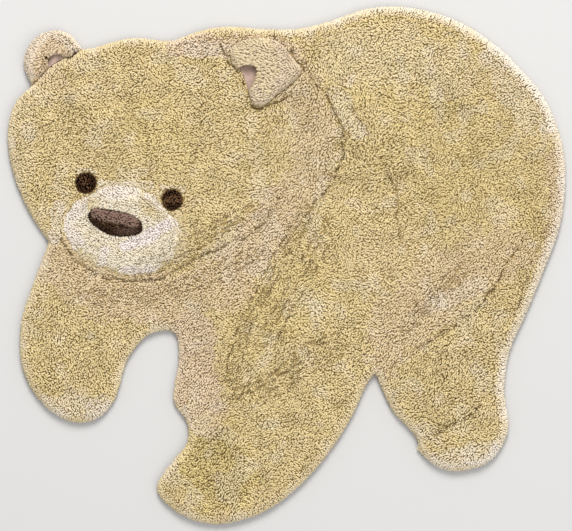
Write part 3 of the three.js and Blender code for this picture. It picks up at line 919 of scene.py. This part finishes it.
def creased(places):
    """How deep each place is in a crease, 0 to 1, how far its pile is parted and which way."""
    deep = np.zeros(len(places))
    parting = np.zeros(len(places))
    ways = np.zeros((len(places), 3))
    for row in CREASES.values():
        apart, way = off_line(places, row["line"])
        reach = CREASE["reach"] + abs(row["rows"] * row["apart"])
        near = np.flatnonzero(np.abs(apart) < reach)
        spots, apart, way = places[near], apart[near], way[near]
        for number in range(row["rows"]):
            off = apart + wander(spots, number) - number * row["apart"]
            share = row["dark"] * whole(spots, number)
            core = share * np.exp(-((off / CREASE["core"]) ** 2))
            side = share * np.exp(-((off / CREASE["push"]) ** 2))
            deep[near] = np.maximum(deep[near], core)
            parting[near] = np.maximum(parting[near], np.minimum(CREASE["part"] * side, 1))
            ways[near, :2] += (side * np.sign(off))[:, None] * way
    return deep, parting, ways / np.maximum(np.linalg.norm(ways, axis=1, keepdims=True), TINY)


def flow(places, rng, calm):
    """The lean of the pile at each place, as level unit vectors; calm pile swirls less."""
    middles = np.array([plan(x, y)[:2] for x, y, _ in FLOW.values()])
    leans = np.radians([lean for _, _, lean in FLOW.values()])
    apart = np.linalg.norm(places[:, None, :2] - middles, axis=2) / (FLOW_REACH * SQUARE)
    weights = np.exp(-apart**2) + FLOW_LEAST
    way = weights @ np.stack([np.cos(leans), np.sin(leans)], axis=1)
    angle = np.arctan2(way[:, 1], way[:, 0])
    angle += (1 - CALM * calm) * SWIRL * waves(places, "swirl")
    angle += rng.normal(0, STRAY, len(places))
    return np.stack([np.cos(angle), np.sin(angle), np.zeros(len(places))], axis=1)


def clumped(places, tints):
    """How each tuft moves towards the middle of its clump: most where the pile is parted."""
    step = CLUMP["step"] * WAVES["clump"]["size"]
    sides = [np.array(side) * step for side in ((1, 0, 0), (0, 1, 0))]
    rises = [waves(places + side, "clump") - waves(places - side, "clump") for side in sides]
    slope = np.stack([*rises, 0 * rises[0]], axis=1)
    share = CLUMP["plain"] + (1 - CLUMP["plain"]) * tints["parted_and_shaded"]
    pull = CLUMP["pull"] * share * (1 - CLUMP["blush"] * tints["blush"])
    steep = np.linalg.norm(slope, axis=1, keepdims=True)
    return pull[:, None] * slope / np.maximum(steep, CLUMP["slope"])


def nearest_pile(places):
    middles = np.array([plan(*middle)[:2] for middle in PILES.values()])
    return np.argmin(np.linalg.norm(places[:, None, :2] - middles, axis=2), axis=1)


def mottled(places, tint):
    return MOTTLING[tint] * smooth(waves(places, tint))


def soft_tints(places, node):
    """How strong each tint is at places on a piece, from its patches and from mottling."""
    tints = {key: patch(places, node, key) for key in ("blush", "gold", "pale", "straw", "parted_and_shaded")}
    if node == "rug":
        # Parted pile is painted darker, for shade, here also in mottled patches.
        tints["parted_and_shaded"] += mottled(places, "parted_and_shaded") - UNPARTED * tints["blush"]
        tints["pale"] += mottled(places, "pale")
        tints["blush"] = np.maximum(tints["blush"], mottled(places, "blush"))
    if node == "muzzle":
        tints["straw"] += mottled(places, "straw")
    return {key: np.clip(values, 0, 1) for key, values in tints.items()}


def tinted(places, node, rng):
    """What each tuft carries: its tone from 0 to 1, and the strength of each tint, among them the
    painted shade of parted pile and of creases.
    """
    tints = soft_tints(places, node)
    # Parted pile gets a darker tone: painted shade.
    tone = waves(places, "tone") - TONE["parted_and_shaded"] * tints["parted_and_shaded"]
    tone += rng.normal(0, 1, len(places)) * (TONE["scatter"] + TONE["more"] * tints["parted_and_shaded"])
    return {**tints, "tone": np.clip(tone, 0, 1), "creased": creased(places)[0]}


def covered(places):
    """True under the pile of a piece that spreads wider than the piece itself."""
    found = np.zeros(len(places), bool)
    for node in LEVEL:
        low, high = (np.array(corner)[:2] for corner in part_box(node))
        half = (high - low) / 2 * (1 + SPREAD[node][0])
        found |= np.linalg.norm((places[:, :2] - (low + high) / 2) / half, axis=1) < 1
    return found


def body_pile(rng):
    """The honey pile of the body, in several pieces."""
    places, facing = scattered("rug", KINDS["honey"]["spacing"])
    inside = (from_edge(places) > EDGE_BAND) & ~covered(places) & in_the_open(places, facing)
    places, facing = places[inside], facing[inside]
    tints = tinted(places, "rug", rng)
    _, parting, ways = creased(places)
    leaning = flow(places, rng, tints["blush"])
    leaning *= (1 - PARTED_UPRIGHT * tints["parted_and_shaded"] * rng.uniform(0, 1, len(places)))[:, None]
    leaning += parting[:, None] * (BESIDE_CREASE * ways - leaning)
    zone = nearest_pile(places)
    places = places - facing * (CREASE_DEEP * tints["creased"])[:, None] + clumped(places, tints)
    for i, name in enumerate(PILES):
        own = zone == i
        carried = {key: values[own] for key, values in tints.items()}
        tufted(
            name, "honey", "honey",
            places[own], facing[own], leaning[own], carried, rng,
        )


def edge_pile(rng):
    """The finer tufts round the edge, which hang outward on top and down the sides."""
    places, facing = scattered("rug", KINDS["edge"]["spacing"])
    inside = (from_edge(places) <= EDGE_BAND) & in_the_open(places, facing)
    places, facing = places[inside], facing[inside]
    tints = tinted(places, "rug", rng)
    rim = 1 - from_edge(places) / EDGE_BAND
    frost = FROST["least"] + FROST["more"] * smooth(places @ FROST["way"])
    tints["pale"] = np.clip(tints["pale"] + frost * (FROST["inside"] + rim), 0, FROST["full"])
    tints["parted_and_shaded"] *= FROST["parted_and_shaded"]
    leaning = facing * LEVELLED + (0, 0, -EDGE_DROOP["down"])
    leaning += EDGE_DROOP["stray"] * rng.normal(0, 1, places.shape)
    tufted("pile_edge", "edge", "honey", places, facing, leaning, tints, rng)


def along_creases(rng):
    """Places spaced out along every crease, whole stretches only, and the way that it runs."""
    places = []
    ways = []
    for row in CREASES.values():
        corners = [plan(*point) for point in row["line"]]
        for start, end in zip(corners, corners[1:]):
            along = (end - start).normalized()
            count = round((end - start).length / KINDS["strand"]["spacing"])
            shares = rng.uniform(0, 1, count)[:, None]
            spots = np.array(start) + shares * np.array(end - start)
            left = np.array((-along.y, along.x, 0))
            for number in range(row["rows"]):
                off = number * row["apart"] - wander(spots, number)
                keep = row["dark"] * whole(spots, number) > rng.uniform(*WHOLE_ENOUGH, count)
                places += list((spots + (off * SQUARE)[:, None] * left)[keep])
                ways += [along] * int(keep.sum())
    return places, ways


def crease_shade_strands(rng):
    """Thin dark strands that lie along the creases, painted shade: they stand for the shaded roots that
    show between tufts.
    """
    places = []
    facing = []
    leaning = []
    for place, way in zip(*along_creases(rng)):
        above = Vector((place[0], place[1], OVERHEAD))
        hit, normal, _, _ = SOLIDS.ray_cast(above, Vector((0, 0, -1)))
        if hit is not None and normal.z > STRAND_BED:
            places.append(hit)
            facing.append(normal)
            leaning.append(way)
    places = np.array(places)
    places[:, 2] -= STRAND_DEEP
    facing = np.array(facing)
    leaning = np.array(leaning) + rng.normal(0, STRAND_STRAY, places.shape)
    tints = {"tone": rng.uniform(0, 1, len(places))}
    tufted("crease_shade_strands", "strand", "shade", places, facing, leaning, tints, rng)


def small_pile(node, kind, material, rng):
    """The pile of one fitted piece."""
    places, facing = scattered(node, KINDS[kind]["spacing"])
    inside = in_the_open(places, facing) & (facing[:, 2] > LEVEL.get(node, -1))
    places, facing = places[inside], facing[inside]
    tints = tinted(places, node, rng)
    middle = (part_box(node)[0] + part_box(node)[1]) / 2
    wider, ragged = SPREAD.get(node, (0, 0))
    spread = wider + ragged * waves(places, "spread")
    places[:, :2] += (places - middle)[:, :2] * spread[:, None]
    places[:, 2] += wider * LIFT
    if node in LEVEL:
        facing = facing * RAISED
        facing /= np.linalg.norm(facing, axis=1, keepdims=True)
    if node in COMBED:
        angle = math.radians(COMBED[node]) + COMB_STRAY * rng.normal(0, 1, len(places))
        angle += waves(places, "combed")
        leaning = np.stack([np.cos(angle), np.sin(angle), 0 * angle], axis=1) + facing * LEVELLED
    else:
        leaning = flow(places, rng, SMALL["calm"]) + SMALL["outward"] * facing * LEVELLED
    tufted(f"{node}_pile", kind, material, places, facing, leaning, tints, rng)


def lining(node):
    """Felt inside an ear."""
    bm = merged(node)
    bmesh.ops.subdivide_edges(bm, edges=bm.edges, cuts=FELT_CUTS, use_grid_fill=True)
    piece = shown(f"{node}_felt", mesh_of(node, bm), MATERIALS["felt"])
    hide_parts(node)


panel = sunk("rug", "rug_ground", "honey_ground", KINDS["honey"]["sink"])
rug_draws = np.random.default_rng(SEEDS["rug"])
body_pile(rug_draws)
edge_pile(rug_draws)
for node, row in FITTED.items():
    kind, material, slot = row["kind"], row["yarn"], row["slot"]
    sunk(node, f"{node}_ground", f"{material}_ground", KINDS[kind]["sink"])
    small_pile(node, kind, material, np.random.default_rng(row["seed"]))
crease_shade_strands(np.random.default_rng(SEEDS["creases"]))
for node in ("ear_left_lining", "ear_right_lining"):
    lining(node)


# ---- Floor, light and camera ----
FLOOR_HALF = 15.0
SKY = {"colour": srgb(236, 238, 242), "strength": 0.9}
LAMPS = [
    {"name": "key", "place": (0.0, 5.0, 5.0), "size": 3.0, "watts": 500},
    {"name": "fill", "place": (3.5, -2.8, 5.0), "size": 4.0, "watts": 110},
]
# The camera's height and the height whose squares it shows as dots, m, its sensor, mm, and how
# far it sees, m.
CAMERA = {"height": 7.0, "level": 0.012, "sensor": 36.0, "sees": 60.0}


def studio():
    scene = bpy.context.scene
    scene.view_settings.view_transform = "Standard"
    bm = bmesh.new()
    bmesh.ops.create_grid(bm, x_segments=1, y_segments=1, size=FLOOR_HALF)
    floor = bpy.data.objects.new("floor", mesh_of("floor", bm))
    floor.data.materials.append(Finish("floor", "floor").coloured(srgb(190, 188, 185)))
    scene.collection.objects.link(floor)
    world = bpy.data.worlds.new("studio")
    world.use_nodes = True
    world.node_tree.nodes["Background"].inputs["Color"].default_value = SKY["colour"]
    world.node_tree.nodes["Background"].inputs["Strength"].default_value = SKY["strength"]
    scene.world = world
    for row in LAMPS:
        light = bpy.data.lights.new(row["name"], "AREA")
        light.size = row["size"]
        light.energy = row["watts"]
        lamp = bpy.data.objects.new(row["name"], light)
        lamp.location = row["place"]
        lamp.rotation_euler = (-Vector(row["place"])).to_track_quat("-Z", "Y").to_euler()
        scene.collection.objects.link(lamp)


def camera():
    """Straight above, far off with a long lens, so that a square of the pattern is a picture's
    dot at the height of the rug's edge."""
    shot = bpy.data.cameras.new("camera")
    shot.sensor_width = CAMERA["sensor"]
    wide = PICTURE["wide"] * SQUARE
    shot.lens = shot.sensor_width * (CAMERA["height"] - CAMERA["level"]) / wide
    shot.clip_end = CAMERA["sees"]
    holder = bpy.data.objects.new("camera", shot)
    middle = plan(PICTURE["wide"] / 2, PICTURE["high"] / 2)
    holder.location = middle + Vector((0, 0, CAMERA["height"]))
    bpy.context.scene.collection.objects.link(holder)
    bpy.context.scene.camera = holder


studio()
camera()
